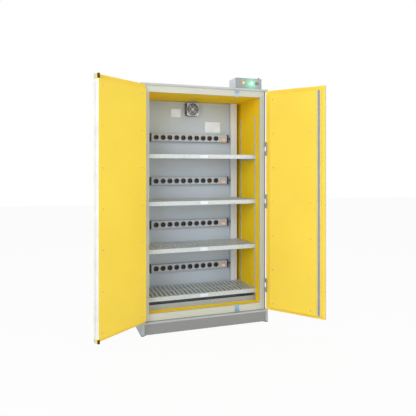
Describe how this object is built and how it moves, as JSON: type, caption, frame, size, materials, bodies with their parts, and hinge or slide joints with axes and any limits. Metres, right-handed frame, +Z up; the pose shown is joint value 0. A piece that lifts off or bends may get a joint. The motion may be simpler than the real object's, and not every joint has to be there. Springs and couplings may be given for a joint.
{
  "type": "battery charging safety cabinet",
  "caption": "Tall fire-rated two-door cabinet for charging batteries, with slotted shelves, socket strips, a fan, a sump tray, a plinth and a control box on the lid.",
  "frame": {"origin": "floor level, middle of the cabinet's width, in the plane of the front frame's face", "axes": "+X to the right as seen from the front, +Y towards the back, +Z up"},
  "size_m": [1.8541, 1.0853, 2.182],
  "materials": {
    "yellow_paint": "smooth powder coat, satin",
    "cream_paint": "smooth powder coat, satin",
    "light_grey_paint": "smooth powder coat, satin",
    "black_steel": "matt black paint",
    "panel_grey": "smooth powder coat, satin",
    "trunk_grey": "smooth powder coat, satin",
    "fire_board": "raw mineral board",
    "galvanised": "galvanised sheet",
    "zinc_steel": "zinc plated",
    "seal_black": "matt",
    "edge_white": "matt strip",
    "bar_grey": "matt strip",
    "black_plastic": "fine grain",
    "strip_white": "satin",
    "plate_white": "blank, satin",
    "switch_orange": "translucent, lit",
    "lamp_amber": "translucent",
    "lamp_green": "translucent, lit",
    "button_red": "gloss"
  },
  "bodies": {
    "cabinet": {"floor_frame": "black_steel", "plinth_shell": "light_grey_paint", "kick_panel": "light_grey_paint", "side_panels": "light_grey_paint", "rear_casing": "light_grey_paint", "casing_pans": "light_grey_paint", "lid": "light_grey_paint", "fire_boards": "fire_board", "door_frame": "cream_paint", "frame_seals": "seal_black", "lining": "yellow_paint", "exhaust_spigot": "galvanised", "frame_fittings": "galvanised", "hinge_body_leaves": "zinc_steel", "hinge_pins": "zinc_steel", "rear_panel": "panel_grey", "trunking": "trunk_grey", "shelf_carriers": "galvanised", "shelf_1": "galvanised", "shelf_2": "galvanised", "shelf_3": "galvanised", "shelf_4": "galvanised", "label_plates": "plate_white", "sump_tray": "galvanised", "strip_bodies": "strip_white", "strip_ends": "black_plastic", "sockets": "black_plastic", "fan_housing": "black_plastic", "fan_guard": "zinc_steel", "control_box": "light_grey_paint", "control_cover": "light_grey_paint", "amber_lamp": "lamp_amber", "green_lamp": "lamp_green", "box_gland": "black_plastic"},
    "left_door": {"left_leaf": "light_grey_paint", "left_core": "fire_board", "left_inner_sheet": "yellow_paint", "left_screws": "zinc_steel", "left_edge_seals": "edge_white", "left_bolt_blocks": "black_plastic", "left_hinge_leaves": "zinc_steel"},
    "left_upper_bolt": {"left_bolt_upper": "zinc_steel"},
    "left_lower_bolt": {"left_bolt_lower": "zinc_steel"},
    "right_door": {"right_leaf": "light_grey_paint", "right_core": "fire_board", "right_inner_sheet": "yellow_paint", "right_screws": "zinc_steel", "meeting_bar": "bar_grey", "handle_base": "black_plastic", "right_hinge_leaves": "zinc_steel"},
    "handle": {"handle_lever": "black_plastic"},
    "upper_latch": {"latch_upper": "zinc_steel"},
    "lower_latch": {"latch_lower": "zinc_steel"},
    "rocker_1": {"rocker_1": "switch_orange"},
    "rocker_2": {"rocker_2": "switch_orange"},
    "rocker_3": {"rocker_3": "switch_orange"},
    "rocker_4": {"rocker_4": "switch_orange"},
    "fan_rotor": {"fan_rotor": "black_plastic"},
    "red_button": {"red_button": "button_red"}
  },
  "joints": [
    {"name": "left_door_swing", "type": "hinge", "parent": "cabinet", "child": "left_door", "pos_m": [-0.543, -0.041, 1], "axis": [0, 0, -1], "range_deg": [-141.3, 8.7]},
    {"name": "right_door_swing", "type": "hinge", "parent": "cabinet", "child": "right_door", "pos_m": [0.543, -0.041, 1], "axis": [0, 0, 1], "range_deg": [-126.1, 23.9]},
    {"name": "left_upper_bolt_slide", "type": "slide", "parent": "left_door", "child": "left_upper_bolt", "axis": [0, 0, 1], "range_m": [0, 0.012]},
    {"name": "left_lower_bolt_slide", "type": "slide", "parent": "left_door", "child": "left_lower_bolt", "axis": [0, 0, -1], "range_m": [0, 0.02]},
    {"name": "handle_turn", "type": "hinge", "parent": "right_door", "child": "handle", "pos_m": [0.83512, -0.40596, 1.05], "axis": [-0.808, -0.5892, 0], "range_deg": [0, 90]},
    {"name": "upper_latch_slide", "type": "slide", "parent": "right_door", "child": "upper_latch", "axis": [0, 0, 1], "range_m": [0, 0.0302]},
    {"name": "lower_latch_slide", "type": "slide", "parent": "right_door", "child": "lower_latch", "axis": [0, 0, -1], "range_m": [0, 0.0302]},
    {"name": "fan_spin", "type": "hinge", "parent": "cabinet", "child": "fan_rotor", "pos_m": [0.012, 0.485, 1.925], "axis": [0, 1, 0], "continuous": true},
    {"name": "red_button_press", "type": "slide", "parent": "cabinet", "child": "red_button", "axis": [0, 1, 0], "range_m": [0, 0.003], "stiffness_N_per_m": 400},
    {"name": "rocker_1_tilt", "type": "hinge", "parent": "cabinet", "child": "rocker_1", "pos_m": [0.324, 0.469, 1.641], "axis": [1, 0, 0], "range_deg": [-9, 9]},
    {"name": "rocker_2_tilt", "type": "hinge", "parent": "cabinet", "child": "rocker_2", "pos_m": [0.324, 0.469, 1.236], "axis": [1, 0, 0], "range_deg": [-9, 9]},
    {"name": "rocker_3_tilt", "type": "hinge", "parent": "cabinet", "child": "rocker_3", "pos_m": [0.324, 0.469, 0.831], "axis": [1, 0, 0], "range_deg": [-9, 9]},
    {"name": "rocker_4_tilt", "type": "hinge", "parent": "cabinet", "child": "rocker_4", "pos_m": [0.324, 0.469, 0.426], "axis": [1, 0, 0], "range_deg": [-9, 9]}
  ],
  "couplings": [
    {"joint": "upper_latch_slide", "follows": "handle_turn", "m_per_rad": 0.019099},
    {"joint": "lower_latch_slide", "follows": "handle_turn", "m_per_rad": 0.019099}
  ]
}
